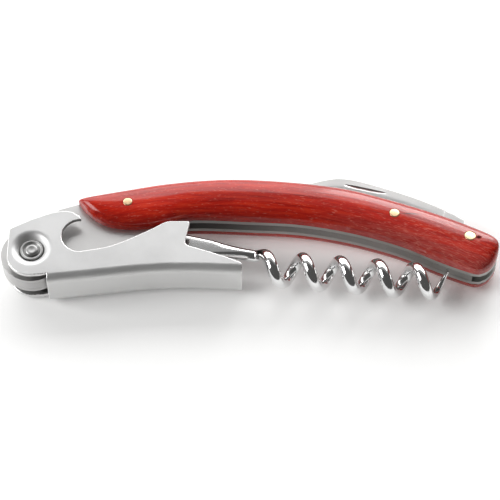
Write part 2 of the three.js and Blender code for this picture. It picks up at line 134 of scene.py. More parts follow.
# Blade. Its points are in plan, in millimetres from its pivot.
HEEL_RADIUS = 3.4 * MM
HEEL_SHOULDER = [(-0.6, 3.75), (-0.6, 7.5), (-2.7, 9.05)]
HEEL_BEVEL = 0.16 * MM
BLADE_BACK = 1.9 * MM
BLADE_EDGE = 0.3 * MM
BLADE_TIP = (-43.8, 14.95)
BLADE_BACK_LINE = [
    (-40.9, 16.75), (-36.9, 18.35), (-32.4, 19.46), (-29.5, 19.6), (-25.4, 18.75),
    (-18.1, 16.25), (-11.0, 13.35), (-5.2, 10.45),
]
BLADE_EDGE_LINE = [
    (-38.4, 14.05), (-30.4, 12.35), (-17.7, 9.35), (-10.4, 6.15), (-6.2, 3.95),
]
NICK_FROM = (-29.1, 17.95)
NICK_TO = (-19.2, 15.5)
NICK_WIDTH = 0.8 * MM
NICK_DEPTH = 0.42 * MM
NICK_SECTION = [(0.46, 0.3), (0.3, -1.0), (-0.8, 0.02), (-0.8, 0.3)]  # in widths and depths

# Stage and camera
FLOOR_REACH = 3000 * MM
TARGET = Vector((0.044, -3.43, 6.2)) * MM  # what the camera aims at
DISTANCE = 470 * MM
ELEVATION = math.radians(58)


# ---- Mesh helpers ----


def lerp(a, b, t):
    return a + (b - a) * t


def smoothstep(x, low, high):
    t = min(1.0, max(0.0, (x - low) / (high - low)))
    return t * t * (3 - 2 * t)


def arc(centre, radius, start, end, steps):
    """Plan points of an arc about a centre, from one angle to another, in degrees."""
    angles = [math.radians(lerp(start, end, i / steps)) for i in range(steps + 1)]
    return [(centre.x + radius * math.cos(a), centre.y + radius * math.sin(a)) for a in angles]


def circle(centre, radius, height, sides):
    return [Vector((x, y, height)) for x, y in arc(centre, radius, 0, 360, sides)[:-1]]


def new_object(name, mesh, material, body):
    """A piece of the visible object: it is shaded smooth, and rides on a CAD body."""
    piece = bpy.data.objects.new(name, mesh)
    bpy.context.scene.collection.objects.link(piece)
    mesh.materials.clear()
    mesh.materials.append(material)
    for polygon in mesh.polygons:
        polygon.use_smooth = True
    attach(piece, body)
    return piece


def mesh_from(name, vertices, faces):
    mesh = bpy.data.meshes.new(name)
    mesh.from_pydata([tuple(v) for v in vertices], [], faces)
    bm = bmesh.new()
    bm.from_mesh(mesh)
    bmesh.ops.remove_doubles(bm, verts=bm.verts, dist=1e-7)
    bmesh.ops.dissolve_degenerate(bm, edges=bm.edges, dist=1e-8)
    bmesh.ops.recalc_face_normals(bm, faces=bm.faces)
    bm.to_mesh(mesh)
    bm.free()
    return mesh


def soften(piece, width, angle=35, segments=2):
    """Rounds a piece's sharp edges and keeps its flats flat."""
    bevel = piece.modifiers.new("edge", "BEVEL")
    bevel.width = width
    bevel.segments = segments
    bevel.limit_method = "ANGLE"
    bevel.angle_limit = math.radians(angle)
    bevel.harden_normals = False
    weighted = piece.modifiers.new("normals", "WEIGHTED_NORMAL")
    weighted.keep_sharp = True
    weighted.weight = 80


def apply_modifiers(piece):
    depsgraph = bpy.context.evaluated_depsgraph_get()
    mesh = bpy.data.meshes.new_from_object(piece.evaluated_get(depsgraph))
    piece.modifiers.clear()
    piece.data = mesh


def sharpen(piece, angle):
    """Keeps a piece's edges crisp where its faces meet at more than an angle, in degrees."""
    piece.data.set_sharp_from_angle(angle=math.radians(angle))


def carve(piece, tool):
    """Subtracts a tool from a piece, and throws the tool away."""
    cut = piece.modifiers.new("cut", "BOOLEAN")
    cut.operation = "DIFFERENCE"
    cut.solver = "EXACT"
    cut.object = tool
    apply_modifiers(piece)
    bpy.data.objects.remove(tool)
    for polygon in piece.data.polygons:
        polygon.use_smooth = True


def drill(piece, holes):
    """Cuts vertical round holes, given as (centre, radius), through a piece."""
    for centre, radius in holes:
        place = (centre.x, centre.y, MID_Z)
        bpy.ops.mesh.primitive_cylinder_add(
            vertices=HOLE_SIDES, radius=radius, depth=30 * MM, location=place
        )
        carve(piece, bpy.context.active_object)


def add_ring(vertices, points):
    """Appends points to a list of vertices, and returns their numbers."""
    first = len(vertices)
    vertices.extend(points)
    return list(range(first, len(vertices)))


def bridge(rings, closed_path=False):
    """Quads between closed rings that each hold the same number of vertices."""
    faces = []
    count = len(rings[0])
    pairs = list(zip(rings, rings[1:]))
    if closed_path:
        pairs.append((rings[-1], rings[0]))
    for a, b in pairs:
        for j in range(count):
            k = (j + 1) % count
            faces.append((a[j], a[k], b[k], b[j]))
    return faces


def turned(name, centre, profile, sides=72):
    """A solid of revolution about a vertical axis, from a closed or axis-to-axis profile."""
    vertices = []
    rings = [
        add_ring(vertices, circle(centre, radius, centre.z + height, sides))
        for radius, height in profile
    ]
    on_axis = profile[0][0] < 1e-9 and profile[-1][0] < 1e-9
    return mesh_from(name, vertices, bridge(rings, closed_path=not on_axis))


def rounded_profile(corners, radius, steps=4):
    """A closed profile with each corner turned into a small curve."""
    points = []
    count = len(corners)
    for i, corner in enumerate(corners):
        here = Vector(corner)
        for j in range(steps + 1):
            t = j / steps
            before = Vector(corners[i - 1]) - here
            after = Vector(corners[(i + 1) % count]) - here
            a = here + before.normalized() * min(radius, before.length * 0.45)
            b = here + after.normalized() * min(radius, after.length * 0.45)
            curve = a * (1 - t) ** 2 + here * 2 * t * (1 - t) + b * t**2
            points.append((max(curve.x, 0.0), curve.y))
    return points


def loop_length(path):
    return sum((b - a).length for a, b in zip(path, path[1:] + path[:1]))


def face_loops(node, height, upward):
    """Outlines of a CAD node's flat faces at a height, longest first, as lists of points."""
    bm = bmesh.new()
    bm.from_mesh(nodes[node].data)
    bmesh.ops.remove_doubles(bm, verts=bm.verts, dist=SAME_POINT)
    side = 1 if upward else -1
    flat = set()
    for face in bm.faces:
        if face.normal.z * side > 0.99 and abs(face.calc_center_median().z - height) < 2e-5:
            flat.add(face)
    follow = {}
    for face in flat:
        for loop in face.loops:
            others = [f for f in loop.edge.link_faces if f in flat]
            if len(others) == 1:
                follow[loop.vert] = loop.link_loop_next.vert
    loops = []
    while follow:
        start, here = follow.popitem()
        path = [start.co.copy()]
        while here is not start:
            path.append(here.co.copy())
            here = follow.pop(here)
        loops.append(path)
    bm.free()
    return sorted(loops, key=loop_length, reverse=True)


def catmull(points, per_span):
    """A smooth open curve through points, with per_span steps between neighbours."""
    curve = []
    last = len(points) - 1
    for i in range(last):
        p0 = points[max(i - 1, 0)]
        p1, p2 = points[i], points[i + 1]
        p3 = points[min(i + 2, last)]
        for j in range(per_span):
            t = j / per_span
            curve.append(
                0.5 * (2 * p1 + (p2 - p0) * t + (2 * p0 - 5 * p1 + 4 * p2 - p3) * t * t
                       + (3 * p1 - p0 - 3 * p2 + p3) * t**3)
            )
    curve.append(points[last])
    return curve


def refined_plate(node, material, bevel):
    """A CAD plate of the handle with its flat faces made whole and its edges softened."""
    mesh = nodes[node].data.copy()
    bm = bmesh.new()
    bm.from_mesh(mesh)
    bmesh.ops.remove_doubles(bm, verts=bm.verts, dist=SAME_POINT)
    bmesh.ops.dissolve_limit(bm, angle_limit=FLAT, verts=bm.verts, edges=bm.edges)
    bm.to_mesh(mesh)
    bm.free()
    piece = new_object(node + "_plate", mesh, material, "handle")
    soften(piece, bevel)
    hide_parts(node)


def plate(name, outline, half):
    """A flat plate at the handle's mid height, on a plan outline and of a given half thickness."""
    vertices = []
    rings = [add_ring(vertices, [(x, y, MID_Z + h) for x, y in outline]) for h in (-half, half)]
    faces = [tuple(reversed(rings[0])), tuple(rings[1])] + bridge(rings)
    return mesh_from(name, vertices, faces)


# ---- Material helpers ----


class Look:
    """A procedural material: its Principled shader, and the coordinates its textures use."""

    def __init__(self, name, **values):
        self.material = bpy.data.materials.new(name)
        self.material.use_nodes = True
        self.tree = self.material.node_tree
        self.shader = self.tree.nodes["Principled BSDF"]
        for socket, value in values.items():
            self.shader.inputs[socket.replace("_", " ")].default_value = value
        self.place = self.node("ShaderNodeTexCoord").outputs["Object"]

    def node(self, kind, **settings):
        node = self.tree.nodes.new(kind)
        for key, value in settings.items():
            setattr(node, key, value)
        return node

    def link(self, source, target):
        self.tree.links.new(source, target)

    def stretched(self, size, shift=(0, 0, 0)):
        """Coordinates in which one unit is `size` millimetres along each axis."""
        mapping = self.node("ShaderNodeMapping")
        mapping.inputs["Scale"].default_value = [1 / (s * MM) for s in size]
        mapping.inputs["Location"].default_value = shift
        self.link(self.place, mapping.inputs["Vector"])
        return mapping.outputs["Vector"]

    def split(self, vector):
        """The X, Y and Z of a vector."""
        node = self.node("ShaderNodeSeparateXYZ")
        self.link(vector, node.inputs[0])
        return node.outputs["X"], node.outputs["Y"], node.outputs["Z"]

    def bend(self, rise, crest):
        """Makes X follow an arched handle: Y is counted from a parabola with its top at `crest`."""
        x, y, z = self.split(self.place)
        along = self.math("SUBTRACT", x, crest)
        sag = self.math("MULTIPLY", self.math("MULTIPLY", along, along), rise)
        join = self.node("ShaderNodeCombineXYZ")
        self.link(x, join.inputs["X"])
        self.link(self.math("ADD", y, sag), join.inputs["Y"])
        self.link(z, join.inputs["Z"])
        self.place = join.outputs["Vector"]

    def spot(self, centre, size):
        """1 about a point of the object, falling to 0 at `size` millimetres along each axis."""
        shift = [-c / (s * MM) for c, s in zip(centre, size)]
        length = self.node("ShaderNodeVectorMath", operation="LENGTH")
        self.link(self.stretched(size, shift=shift), length.inputs[0])
        return self.levels(length.outputs["Value"], 0.35, 1.0, 1.0, 0.0)

    def noise(self, where, detail=3.0, roughness=0.55, distortion=0.0):
        noise = self.node("ShaderNodeTexNoise")
        noise.inputs["Scale"].default_value = 1.0
        noise.inputs["Detail"].default_value = detail
        noise.inputs["Roughness"].default_value = roughness
        noise.inputs["Distortion"].default_value = distortion
        self.link(where, noise.inputs["Vector"])
        return noise.outputs["Fac"]

    def ramp(self, value, *stops):
        ramp = self.node("ShaderNodeValToRGB")
        elements = ramp.color_ramp.elements
        while len(elements) < len(stops):
            elements.new(0.5)
        for element, (position, color) in zip(elements, stops):
            element.position = position
            element.color = (*color, 1)
        self.link(value, ramp.inputs["Fac"])
        return ramp.outputs["Color"]

    def levels(self, value, low, high, to_low=0.0, to_high=1.0):
        node = self.node("ShaderNodeMapRange")
        node.inputs["From Min"].default_value = low
        node.inputs["From Max"].default_value = high
        node.inputs["To Min"].default_value = to_low
        node.inputs["To Max"].default_value = to_high
        self.link(value, node.inputs["Value"])
        return node.outputs["Result"]

    def math(self, operation, a, b):
        node = self.node("ShaderNodeMath", operation=operation)
        for socket, value in zip(node.inputs, (a, b)):
            if isinstance(value, (int, float)):
                socket.default_value = value
            else:
                self.link(value, socket)
        return node.outputs["Value"]

    def mix(self, factor, a, b, blend="MIX"):
        node = self.node("ShaderNodeMix", data_type="RGBA", blend_type=blend)
        for socket, value in zip((node.inputs[0], node.inputs[6], node.inputs[7]), (factor, a, b)):
            if isinstance(value, (int, float)):
                socket.default_value = value
            elif isinstance(value, tuple):
                socket.default_value = (*value, 1)
            else:
                self.link(value, socket)
        return node.outputs[2]

    def use(self, value, socket):
        self.link(value, self.shader.inputs[socket])

    def bump(self, height, distance, strength=1.0):
        node = self.node("ShaderNodeBump")
        node.inputs["Distance"].default_value = distance * MM
        node.inputs["Strength"].default_value = strength
        self.link(height, node.inputs["Height"])
        self.link(node.outputs["Normal"], self.shader.inputs["Normal"])


# ---- Materials ----


def red_wood():
    """Lacquered wood, with a void behind the rear pin and a split beside the middle one."""
    look = Look(
        "red_wood", Metallic=0.0, Specular_IOR_Level=0.02, Coat_Weight=1.0, Coat_Roughness=0.12
    )
    void = look.spot(PINS["pin_rear"][0] + Vector((2.0, -0.44, 5.8)) * MM, (0.85, 0.62, 3.0))
    split = look.spot(PINS["pin_middle"][0] + Vector((4.0, -0.22, 6.1)) * MM, (3.2, 0.32, 3.0))
    look.bend(3.8, -8 * MM)
    grain = look.noise(look.stretched((11, 0.8, 0.8)), detail=6, distortion=0.2)
    fine = look.noise(look.stretched((2.6, 0.22, 0.3), shift=(2, 7, 1)), detail=3)
    tone = look.noise(look.stretched((26, 5, 5), shift=(3, 1, 2)), detail=2)
    mingled = look.math("ADD", look.math("MULTIPLY", grain, 0.62), look.math("MULTIPLY", fine, 0.38))
    base = look.ramp(
        mingled,
        (0.34, (0.250, 0.007, 0.004)),
        (0.48, (0.385, 0.011, 0.005)),
        (0.64, (0.510, 0.030, 0.011)),
    )
    toned = look.ramp(tone, (0.35, (0.80, 0.78, 0.85)), (0.65, (1.12, 1.05, 0.9)))
    colored = look.mix(1.0, base, toned, blend="MULTIPLY")

    # Towards the butt the belly side gets a pale haze, a painted sheen, and the pale pores are more
    # frequent.
    x, y, _ = look.split(look.place)
    painted_sheen = look.math(
        "MULTIPLY", look.levels(x, 14 * MM, 36 * MM, 0.0, 0.8), look.levels(y, 8 * MM, 5 * MM)
    )
    painted_sheen = look.math("MULTIPLY", painted_sheen, look.levels(fine, 0.38, 0.56, 0.3, 1.0))
    # The pale haze mixed in here is a painted sheen.
    hazed = look.mix(painted_sheen, colored, (0.40, 0.075, 0.065))
    pores = look.noise(look.stretched((1.3, 0.26, 0.3), shift=(5, 5, 5)), detail=2)
    more = look.levels(x, 10 * MM, 42 * MM, 0.0, 0.065)
    pale = look.math("MULTIPLY", look.levels(look.math("ADD", pores, more), 0.61, 0.71), 0.36)
    flecked = look.mix(pale, hazed, (0.66, 0.22, 0.17))

    cracks = look.noise(look.stretched((5.5, 0.2, 0.3), shift=(9, 1, 4)), detail=2)
    dark = look.levels(cracks, 0.66, 0.74)
    dark = look.math("MAXIMUM", look.math("MULTIPLY", dark, 0.6), look.math("MULTIPLY", split, 0.8))
    dark = look.math("MAXIMUM", dark, void)
    streaked = look.mix(dark, flecked, (0.035, 0.004, 0.004))
    look.use(streaked, "Base Color")
    look.use(look.levels(grain, 0.3, 0.7, 0.42, 0.30), "Roughness")
    look.use(look.levels(void, 0.0, 0.5, 0.85, 0.0), "Coat Weight")
    look.bump(look.math("SUBTRACT", mingled, dark), 0.03, 0.6)
    return look.material


def metal(name, color, roughness, spread, lines, depth, painted_shade=None):
    """Ground or brushed metal: fine lines set the roughness and a shallow relief.

    `lines` is their size along each axis. `painted_shade` is painted shade along X: the X where it
    starts, the X where it is full, and its colour. Lengths are in millimetres.
    """
    look = Look(name, Metallic=1.0)
    brushed = look.noise(look.stretched(lines), detail=4, roughness=0.6)
    cloud = look.noise(look.stretched((9, 9, 9), shift=(4, 2, 7)), detail=3)
    duller, brighter = (tuple(min(1.0, c * k) for c in color) for k in (0.94, 1.04))
    shade = look.ramp(cloud, (0.35, duller), (0.65, brighter))
    # Painted shade: the colour darkens along X, from where it starts to where it is full.
    if painted_shade:
        start, full, dark = painted_shade
        x = look.split(look.place)[0]
        shade = look.mix(look.levels(x, start * MM, full * MM), shade, dark)
    look.use(shade, "Base Color")
    look.use(look.levels(brushed, 0.3, 0.7, roughness - spread, roughness + spread), "Roughness")
    if depth:
        look.bump(brushed, depth, 0.35)
    return look.material


def pressed_sheet():
    """Satin sheet, rougher where it is bent or dished, and painted paler there and on the web as
    painted light.
    """
    look = Look("lever_steel", Metallic=1.0)
    normal = look.node("ShaderNodeTexCoord").outputs["Normal"]
    level = look.math("ABSOLUTE", look.split(normal)[2], 0.0)
    bent = look.math("MULTIPLY", level, look.math("SUBTRACT", 1.0, level))
    bent = look.levels(bent, 0.02, 0.2)
    cloud = look.noise(look.stretched((9, 9, 9), shift=(4, 2, 7)), detail=3)
    flat = look.ramp(cloud, (0.35, (0.515, 0.515, 0.514)), (0.65, (0.57, 0.57, 0.569)))
    # Painted light: the bends, the dish and the web are coloured paler than the flat cheeks.
    painted_light = look.levels(level, 0.97, 0.6)
    look.use(look.mix(painted_light, flat, (0.71, 0.71, 0.705)), "Base Color")
    grit = look.noise(look.stretched((0.5, 0.5, 0.5)), detail=4, roughness=0.6)
    satin = look.levels(grit, 0.3, 0.7, 0.40, 0.48)
    look.use(look.math("ADD", satin, look.math("MULTIPLY", bent, 0.14)), "Roughness")
    look.bump(grit, 0.002, 0.35)
    return look.material


WOOD = red_wood()
LEVER_STEEL = pressed_sheet()
# The bevel's pale colour is a painted highlight along the sheet's edges.
EDGE_HIGHLIGHT_STEEL = metal("lever_edge_highlight", (0.90, 0.90, 0.895), 0.28, 0.03, (0.5, 0.5, 0.5), depth=0.001)
# Painted shade: the liners darken from X = -26 mm to -6 mm and stay dark towards the butt, and the
# spring darkens towards the lever.
LINER_STEEL = metal(
    "liner_steel", (0.55, 0.545, 0.54), 0.38, 0.03, (8, 0.4, 0.4), depth=0.0008,
    painted_shade=(-26, -6, (0.39, 0.385, 0.37)),
)
SPRING_STEEL = metal(
    "spring_steel", (0.29, 0.285, 0.272), 0.30, 0.04, (8, 0.3, 0.3), depth=0.001,
    painted_shade=(32, -14, (0.045, 0.042, 0.040)),
)
CHROME = metal("worm_chrome", (0.80, 0.80, 0.80), 0.12, 0.02, (3, 3, 3), depth=0.0005)
BLADE_STEEL = metal("blade_steel", (0.56, 0.55, 0.545), 0.30, 0.03, (4, 4, 4), depth=0.0)
RIVET_STEEL = metal("rivet_steel", (0.36, 0.36, 0.356), 0.40, 0.03, (0.6, 0.6, 0.6), depth=0.001)
BRASS = metal("pin_brass", (0.72, 0.51, 0.31), 0.30, 0.05, (0.3, 2.0, 2.0), depth=0.001)


# ---- Wood scales and brass pins ----


def scale_chains(node, base, upward):
    """The scale's belly and spine edges at its flat face, from front tip to butt."""
    outer = face_loops(node, base, upward)[0]
    first = min(range(len(outer)), key=lambda i: outer[i].x)
    path = outer[first:] + outer[:first]
    last = max(range(len(path)), key=lambda i: path[i].x)
    chains = [path[: last + 1], [path[0]] + path[last:][::-1]]
    middle = (path[0].x + path[last].x) / 2
    return sorted(chains, key=lambda chain: min(chain, key=lambda p: abs(p.x - middle)).y)


def resampled(chain, count):
    """Points of a smooth curve through the chain, closer together near both ends."""
    fine = catmull([p.xy.to_3d() for p in chain], 6)
    lengths = np.cumsum([0.0] + [(b - a).length for a, b in zip(fine, fine[1:])])
    points = []
    for i in range(count + 1):
        goal = lengths[-1] * (1 - math.cos(math.pi * i / count)) / 2
        k = min(int(np.searchsorted(lengths, goal, side="right")) - 1, len(fine) - 2)
        t = (goal - lengths[k]) / max(lengths[k + 1] - lengths[k], 1e-12)
        points.append(fine[k].lerp(fine[k + 1], t))
    return points


def scale_mesh(node, upward):
    """A scale on its CAD outline: a flat face, a low upright edge and a smooth crown."""
    low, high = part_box(node)
    base, top = (low.z, high.z) if upward else (high.z, low.z)
    wall = SIDE_WALL if upward else -LOWER_SIDE_WALL
    belly, spine = (
        resampled(chain, STATIONS) for chain in scale_chains(node, base, not upward)
    )
    across = [(1 - math.cos(math.pi * j / ACROSS)) / 2 for j in range(ACROSS + 1)]
    flat = []
    crowned = []
    for belly_point, spine_point in zip(belly, spine):
        width = min(1.0, (spine_point - belly_point).length / CROWN_WIDTH)
        full = (1 - (1 - width) ** CROWN_POWER) ** (1 / CROWN_POWER)
        for u in across:
            rise = full * (1 - abs(2 * u - 1) ** CROWN_POWER) ** (1 / CROWN_POWER)
            flat.append(belly_point.lerp(spine_point, u))
            crowned.append(base + wall + (top - base - wall) * rise)
    vertices = [(p.x, p.y, base) for p in flat]
    vertices += [(p.x, p.y, base + wall / 2) for p in flat]
    vertices += [(p.x, p.y, z) for p, z in zip(flat, crowned)]
    columns = len(across)
    layer = len(flat)
    faces = []
    for i in range(STATIONS):
        for j in range(columns - 1):
            a = i * columns + j
            corners = (a, a + 1, a + columns + 1, a + columns)
            faces.append(corners)
            faces.append(tuple(2 * layer + c for c in corners[::-1]))
        for a in (i * columns, (i + 1) * columns - 1):
            for step in (0, layer):
                b = step + a
                faces.append((b, b + columns, b + layer + columns, b + layer))
    return mesh_from(node + "_wood", vertices, faces)


def surface_of(mesh):
    """A tree that finds a mesh's surface along a ray."""
    bm = bmesh.new()
    bm.from_mesh(mesh)
    tree = BVHTree.FromBMesh(bm)
    bm.free()
    return tree


def pin_mesh(name, centre, radius, upper, lower):
    """A pin ground flush: its ends follow the crowned wood, and their rims are bevelled."""

    def on_surface(ring_radius, surface, side, inset=0.0):
        points = []
        for start in circle(centre, ring_radius, MID_Z + side * 20 * MM, HOLE_SIDES):
            hit = surface.ray_cast(start, Vector((0, 0, -side)))[0]
            points.append((start.x, start.y, hit.z - side * inset))
        return points

    radii = np.linspace(0, radius - PIN_RIM, 6)
    levels = [on_surface(r, lower, -1) for r in radii]
    levels.append(on_surface(radius, lower, -1, PIN_RIM))
    levels.append(on_surface(radius, upper, 1, PIN_RIM))
    levels += [on_surface(r, upper, 1) for r in radii[::-1]]
    vertices = []
    rings = [add_ring(vertices, points) for points in levels]
    return mesh_from(name, vertices, bridge(rings))


surfaces = {}
for scale, upward in (("scale_upper", True), ("scale_lower", False)):
    wood_mesh = scale_mesh(scale, upward)
    surfaces[scale] = surface_of(wood_mesh)
    wood_piece = new_object(scale + "_wood", wood_mesh, WOOD, "handle")
    drill(wood_piece, [(centre, radius + WOOD_PLAY) for centre, radius in PINS.values()])
    sharpen(wood_piece, 40)
    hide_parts(scale)

for pin, (centre, radius) in PINS.items():
    brass_mesh = pin_mesh(pin, centre, radius, surfaces["scale_upper"], surfaces["scale_lower"])
    brass_piece = new_object(pin + "_brass", brass_mesh, BRASS, "handle")
    sharpen(brass_piece, 60)
    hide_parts(pin)


# ---- Steel plates ----

for node, steel, bevel in (
    ("liner_upper", LINER_STEEL, 0.1),
    ("liner_lower", LINER_STEEL, 0.1),
    ("front_spacer", LINER_STEEL, 0.12),
    ("backspring", SPRING_STEEL, 0.16),
):
    refined_plate(node, steel, bevel * MM)

for hidden in ("spring_rivet", "worm_pivot_pin"):
    nodes[hidden].data.materials.clear()
    nodes[hidden].data.materials.append(LINER_STEEL)


# ---- Lever ----


def lever_outline(top):
    """The cheek's flat outline in two runs: the fold along the web, and the free edge."""
    outer = face_loops("lever", top, True)[0]
    start = min(range(len(outer)), key=lambda i: abs(outer[i].x - WEB_START_X) + outer[i].y)
    outer = outer[start:] + outer[:start]
    end_x = max(p.x for p in outer)
    turn = next(i for i, p in enumerate(outer) if p.x > end_x - SAME_POINT)
    fold = [p + Vector((0, BEND_SPREAD, 0)) for p in catmull(outer[: turn + 1], 4)]
    free = [fold[-1]]
    for p in outer[turn + 1 :]:
        past_fold = p.x < end_x - SAME_POINT or p.y > fold[-1].y
        if past_fold and (p - free[-1]).length > OUTLINE_STEP:
            free.append(p)
    return fold, free[1:]


def dished_cheek(bm, outline, side, height):
    """One cheek with its dish and bore. Returns the vertices along its outline."""
    sides = 96
    steps = 16
    rim = [bm.verts.new((p.x, p.y, height)) for p in outline]
    circles = [circle(LEVER_PIVOT, DISH_RIM + DISH_BORDER, height, sides)]
    for i in range(steps, -1, -1):
        r = lerp(DISH_FLOOR, DISH_RIM, i / steps)
        sink = DISH_DEPTH * (1 - i / steps) ** DISH_POWER
        circles.append(circle(LEVER_PIVOT, r, height - side * sink, sides))
    circles.append(circle(LEVER_PIVOT, DISH_BORE, height - side * DISH_DEPTH, sides))
    rings = [[bm.verts.new(p) for p in points] for points in circles]
    for face in bridge(rings):
        bm.faces.new(face)
    edges = [bm.edges.new(pair) for pair in zip(rim, rim[1:] + rim[:1])]
    hole = [bm.edges.get(pair) for pair in zip(rings[0], rings[0][1:] + rings[0][:1])]
    bmesh.ops.triangle_fill(bm, edges=edges + hole, use_beauty=True)
    return rim


def folded_web(bm, fold, upper_rim, lower_rim):
    """The web, with the two bends that join it to the cheeks."""
    radius = LEVER_BEND + BEND_SPREAD
    half = upper_rim[0].co.z - MID_Z
    steps = 8
    quarter = [math.pi / 2 * i / steps for i in range(steps + 1)]
    previous = None
    for i, p in enumerate(fold):
        row = [upper_rim[i]]
        for side, angles in ((1, quarter[1:]), (-1, quarter[:0:-1])):
            for a in angles:
                z = MID_Z + side * (half - radius * (1 - math.cos(a)))
                row.append(bm.verts.new((p.x, p.y - radius * math.sin(a), z)))
        row.append(lower_rim[i])
        if previous:
            for j in range(len(row) - 1):
                bm.faces.new((previous[j], previous[j + 1], row[j + 1], row[j]))
        previous = row


def lever_mesh():
    """The outer skin of the bent sheet: two dished cheeks, and the web between them."""
    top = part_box("lever")[1].z
    fold, free = lever_outline(top)
    bm = bmesh.new()
    upper_rim = dished_cheek(bm, fold + free, 1, top)
    lower_rim = dished_cheek(bm, fold + free, -1, 2 * MID_Z - top)
    folded_web(bm, fold, upper_rim, lower_rim)
    bmesh.ops.recalc_face_normals(bm, faces=bm.faces)
    bmesh.ops.dissolve_limit(bm, angle_limit=FLAT, verts=[], edges=list(bm.edges))
    mesh = bpy.data.meshes.new("lever_sheet")
    bm.to_mesh(mesh)
    bm.free()
    return mesh


lever_piece = new_object("lever_sheet", lever_mesh(), LEVER_STEEL, "lever")
# Second material: the bevels' pale colour, a painted highlight.
lever_piece.data.materials.append(EDGE_HIGHLIGHT_STEEL)
thick = lever_piece.modifiers.new("sheet", "SOLIDIFY")
thick.thickness = SHEET
thick.offset = -1
thick.use_even_offset = True
soften(lever_piece, LEVER_BEVEL, angle=50, segments=3)
lever_piece.modifiers["edge"].use_clamp_overlap = False
lever_piece.modifiers["edge"].material = 1
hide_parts("lever")


# ---- Washers and rivet at the lever's root ----

for washer, side in (("lever_washer_upper", 1), ("lever_washer_lower", -1)):
    washer_low, washer_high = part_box(washer)
    base = (washer_low.z if side > 0 else washer_high.z) - MID_Z
    corners = [
        (RIVET_RADIUS + STEEL_PLAY, 0),
        (WASHER_RADIUS, 0),
        (WASHER_RADIUS, WASHER_RIM),
        (WASHER_RADIUS - WASHER_LIP, WASHER_RIM),
        (WASHER_RADIUS - WASHER_WALL, WASHER_FLOOR),
        (RIVET_RADIUS + STEEL_PLAY, WASHER_FLOOR),
    ]
    profile = rounded_profile([(r, base + side * h) for r, h in corners], WASHER_ROUNDING)
    washer_mesh = turned(washer + "_cup", LEVER_PIVOT, profile)
    washer_piece = new_object(washer + "_cup", washer_mesh, RIVET_STEEL, "handle")
    sharpen(washer_piece, 50)
    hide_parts(washer)

rivet_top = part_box("lever_rivet")[1].z - MID_Z
seat = rivet_top - RIVET_HEAD_HEIGHT
upper_half = [(r * MM, rivet_top - depth * MM) for r, depth in RIVET_HEAD]
upper_half += [(upper_half[-1][0], seat), (RIVET_RADIUS, seat)]
lower_half = [(r, -height) for r, height in reversed(upper_half)]
rivet_mesh = turned("lever_rivet_head", LEVER_PIVOT, upper_half + lower_half)
rivet_piece = new_object("lever_rivet_head", rivet_mesh, RIVET_STEEL, "handle")
sharpen(rivet_piece, 50)
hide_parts("lever_rivet")


# ---- Worm ----


def helix_point(distance):
    """Middle of the wire at a distance along the helix's axis from HELIX_ORIGIN.

    Over the ramp, half of it on each side of HELIX_ORIGIN, the wire starts to turn.
    """
    rate = 2 * math.pi / PITCH
    turn = 0.0
    if distance > RAMP / 2:
        turn = rate * distance
    elif distance > -RAMP / 2:
        turn = rate * (distance + RAMP / 2) ** 2 / (2 * RAMP)
    axis = Vector((math.cos(HELIX_TILT), math.sin(HELIX_TILT), 0))
    across = Vector((-axis.y, axis.x, 0))
    up = Vector((0, 0, 1))
    return (HELIX_ORIGIN + axis * distance + across * HELIX_RADIUS * math.cos(turn)
            + up * HELIX_RADIUS * math.sin(turn))


SHANK = helix_point(-RAMP / 2) - WORM_PIVOT  # straight from the pivot to the ramp


def worm_path():
    """Points of the wire's middle with the wire's radius at each, from the eye to the tip."""
    path = []
    for i in range(SHANK_STEPS):
        along = lerp(SHANK_START, SHANK.length, i / SHANK_STEPS)
        path.append((WORM_PIVOT + SHANK.normalized() * along, WIRE_RADIUS))
    length = TURNS * PITCH
    steps = int(TURNS * 64)
    for i in range(steps + 1):
        distance = lerp(-RAMP / 2, length, i / steps)
        left = min(1.0, (length - distance) / PITCH / TAPER_TURNS)
        path.append((helix_point(distance), lerp(TIP_RADIUS, WIRE_RADIUS, left**0.65)))
    return path


def worm_mesh():
    """The wire, pointed at its tip and forged flat towards its eye."""
    sides = 28
    path = worm_path()
    vertices = []
    rings = []
    normal = Vector((0, 0, 1))
    for i, (point, radius) in enumerate(path):
        tangent = (path[min(i + 1, len(path) - 1)][0] - path[max(i - 1, 0)][0]).normalized()
        normal = (normal - tangent * normal.dot(tangent)).normalized()
        side = tangent.cross(normal)
        flat = 1 - smoothstep(i, 0.1 * SHANK_STEPS, SHANK_STEPS)
        tall = lerp(radius, TANG_HALF, min(1, 3 * flat))
        wide = lerp(radius, SHANK_HALF_WIDTH, flat)
        squareness = lerp(1, 0.35, min(1, 2 * flat))
        points = []
        for j in range(sides):
            angle = 2 * math.pi * j / sides
            c, q = math.cos(angle), math.sin(angle)
            offset = normal * tall * math.copysign(abs(c) ** squareness, c)
            offset += side * wide * math.copysign(abs(q) ** squareness, q)
            points.append(point + offset)
        rings.append(add_ring(vertices, points))
    tangent = (path[-1][0] - path[-2][0]).normalized()
    rings.append(add_ring(vertices, [path[-1][0] + tangent * TIP_RADIUS] * sides))
    return mesh_from("worm_wire", vertices, bridge(rings) + [tuple(rings[0])])


